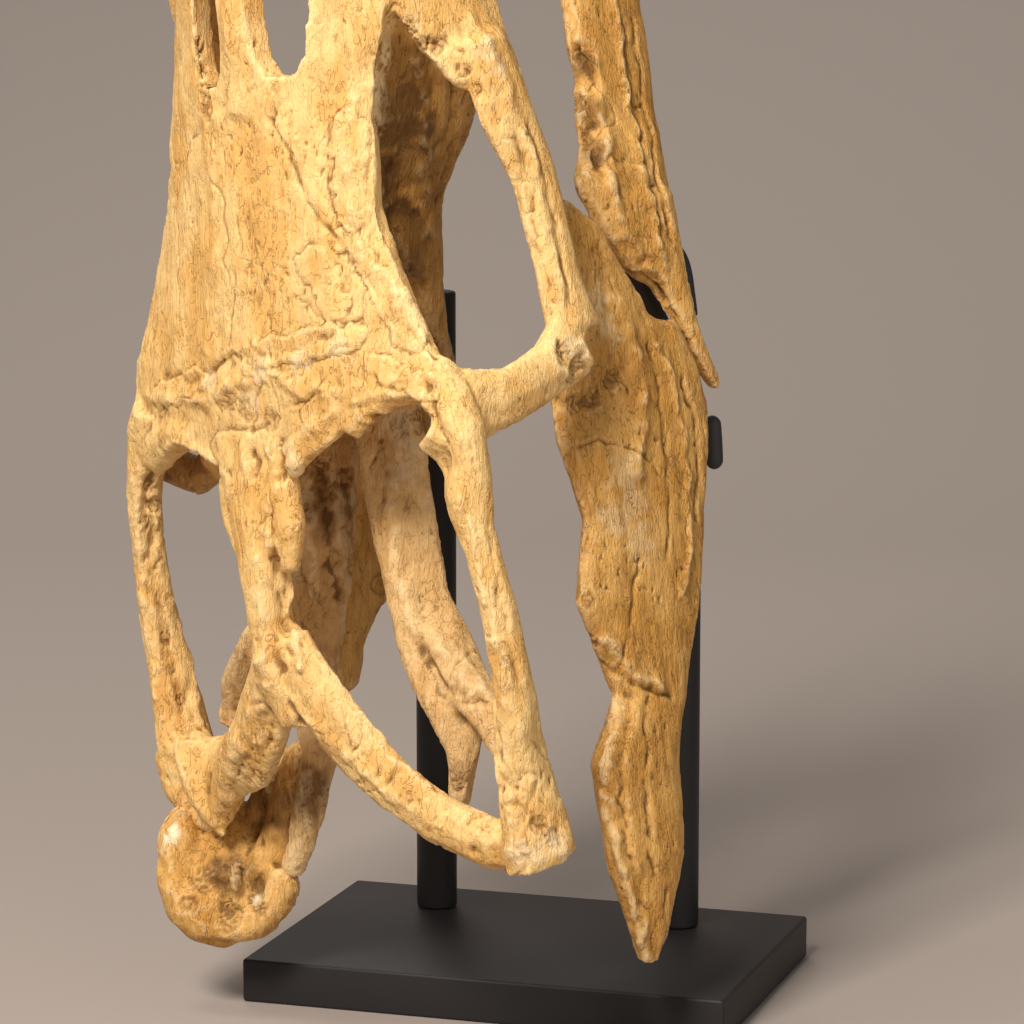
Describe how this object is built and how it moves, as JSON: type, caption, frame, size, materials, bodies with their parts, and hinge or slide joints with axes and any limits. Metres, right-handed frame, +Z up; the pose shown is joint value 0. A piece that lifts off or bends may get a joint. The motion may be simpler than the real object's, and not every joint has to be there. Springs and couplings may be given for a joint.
{
  "type": "fossil mosasaur skull on stand",
  "caption": "Fossil marine lizard skull with gaping jaws, standing snout up against rubber covered hooks on two round posts of a flat plate",
  "frame": {"origin": "middle of the underside of the base plate", "axes": "+Z up along the posts, towards the snout; +X along the long side of the plate, to the right seen from its front; -Y towards the viewer, where the skull roof is"},
  "size_m": [0.2696, 0.2793, 0.6586],
  "materials": {
    "fossil_bone_roof": "dry matt fossil bone, warm ochre with pale patches",
    "fossil_bone_deep": "dry matt fossil bone, deeper ochre brown",
    "black_painted_steel": "satin black powder coat",
    "black_rubber": "matt black sleeve"
  },
  "bodies": {
    "root": {"snout": "fossil_bone_roof", "frontal": "fossil_bone_roof", "parietal": "fossil_bone_roof", "right_temporal_bar": "fossil_bone_roof", "left_temporal_bar": "fossil_bone_roof", "right_jugal": "fossil_bone_roof", "left_jugal": "fossil_bone_roof", "right_pterygoid": "fossil_bone_deep", "left_pterygoid": "fossil_bone_deep", "left_quadrate": "fossil_bone_deep", "right_dentary": "fossil_bone_deep", "right_hind_jaw": "fossil_bone_deep", "left_dentary": "fossil_bone_deep", "left_hind_jaw": "fossil_bone_deep", "base_plate": "black_painted_steel", "left_post": "black_painted_steel", "right_post": "black_painted_steel", "jaw_loop_rod": "black_painted_steel", "jaw_stop_rod": "black_painted_steel", "cranium_arm": "black_painted_steel", "jaw_loop_sleeve": "black_rubber", "jaw_stop_sleeve": "black_rubber", "cranium_sleeve": "black_rubber"}
  },
  "joints": []
}
